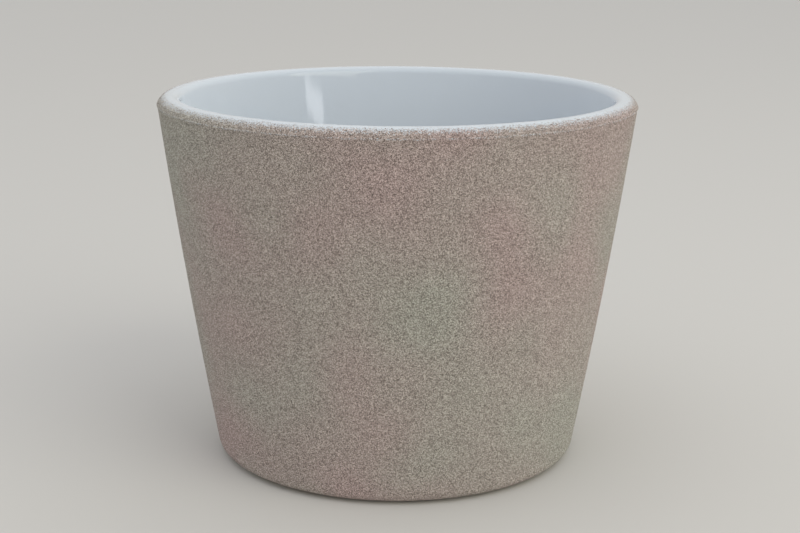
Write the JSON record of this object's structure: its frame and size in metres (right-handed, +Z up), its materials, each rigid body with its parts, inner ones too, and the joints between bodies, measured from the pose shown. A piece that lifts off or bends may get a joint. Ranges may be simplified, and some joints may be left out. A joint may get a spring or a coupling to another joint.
{
  "type": "cachepot",
  "caption": "Round tapered ceramic cachepot with a glossy white lining, a sandy taupe outside, a rounded lip and no drainage hole.",
  "frame": {"origin": "on the pot's axis, in the plane of the foot ring that it stands on", "axes": "+Z up along the pot's axis; the pot is the same all round, so X and Y are any two level directions"},
  "size_m": [0.13, 0.13, 0.1],
  "materials": {
    "fired_clay": "matte bare clay",
    "white_glaze": "gloss",
    "grit_coat": "matte, fine sandy grain"
  },
  "bodies": {
    "root": {"stoneware_body": "fired_clay", "inner_glaze": "white_glaze", "outer_coat": "grit_coat"}
  },
  "joints": []
}
